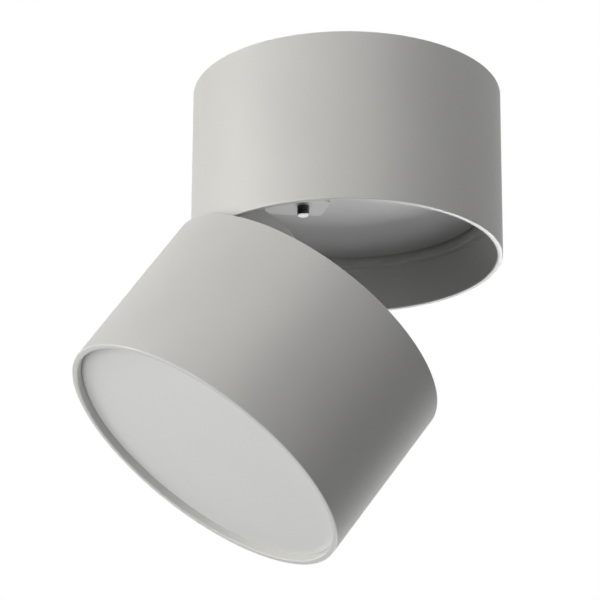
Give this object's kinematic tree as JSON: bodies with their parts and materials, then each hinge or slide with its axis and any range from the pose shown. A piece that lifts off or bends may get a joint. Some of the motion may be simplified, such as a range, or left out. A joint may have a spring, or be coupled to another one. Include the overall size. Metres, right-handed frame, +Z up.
{
  "type": "surface mounted ceiling spotlight",
  "caption": "Round surface mounted ceiling spotlight: a drum canopy with a swivel disc and a side hinge that folds out a drum head with a flat opal diffuser.",
  "frame": {"origin": "centre of the ceiling plate's upper face, which lies against the ceiling", "axes": "+Z up into the ceiling along the canopy's axis; the hinge is on the -X side and its pin lies along Y"},
  "size_m": [0.1368, 0.1, 0.1557],
  "materials": {
    "shell_powder_coat": "matte",
    "disc_powder_coat": "matte",
    "hinge_powder_coat": "satin",
    "zinc_plated_steel": "satin",
    "screw_steel": "satin",
    "bare_aluminium": "satin",
    "opal_acrylic": "satin",
    "white_plastic": "matte",
    "nylon": "matte",
    "grey_rubber": "matte",
    "driver_board_green": "satin",
    "light_board_white": "satin",
    "chip_phosphor": "satin",
    "transformer_tape": "satin",
    "capacitor_sleeve": "gloss"
  },
  "bodies": {
    "canopy": {"ceiling_plate": "zinc_plated_steel", "entry_bushing": "white_plastic", "terminal_block": "white_plastic", "terminal_screws": "screw_steel", "canopy_shell": "shell_powder_coat", "carrier_plate": "zinc_plated_steel", "carrier_screws": "screw_steel", "driver_case": "white_plastic", "driver_lid": "white_plastic", "driver_board": "driver_board_green", "driver_transformer": "transformer_tape", "driver_capacitor": "capacitor_sleeve", "driver_screws": "screw_steel", "carrier_stop": "zinc_plated_steel"},
    "swivel": {"swivel_disc": "disc_powder_coat", "disc_stop": "zinc_plated_steel", "swivel_hub": "zinc_plated_steel", "bearing_washer": "nylon", "spring_washer": "screw_steel", "hub_nut": "zinc_plated_steel", "disc_grommet": "grey_rubber", "hinge_leaf": "hinge_powder_coat", "leaf_bolts": "screw_steel", "hinge_pin": "zinc_plated_steel", "pin_clip": "screw_steel"},
    "head": {"yoke": "hinge_powder_coat", "friction_washers": "nylon", "yoke_screws": "screw_steel", "backing_plate": "zinc_plated_steel", "back_cover": "disc_powder_coat", "back_cover_screws": "screw_steel", "head_grommet": "grey_rubber", "head_shell": "shell_powder_coat", "heat_sink": "bare_aluminium", "light_board": "light_board_white", "light_chips": "chip_phosphor", "light_board_screws": "screw_steel", "reflector": "white_plastic", "diffuser": "opal_acrylic"}
  },
  "joints": [
    {"name": "pan", "type": "hinge", "parent": "canopy", "child": "swivel", "pos_m": [0, 0, 0], "axis": [0, 0, 1], "range_deg": [-175, 175]},
    {"name": "tilt", "type": "hinge", "parent": "swivel", "child": "head", "pos_m": [-0.0432, 0, -0.0479], "axis": [0, 1, 0], "range_deg": [-35, 55]}
  ]
}
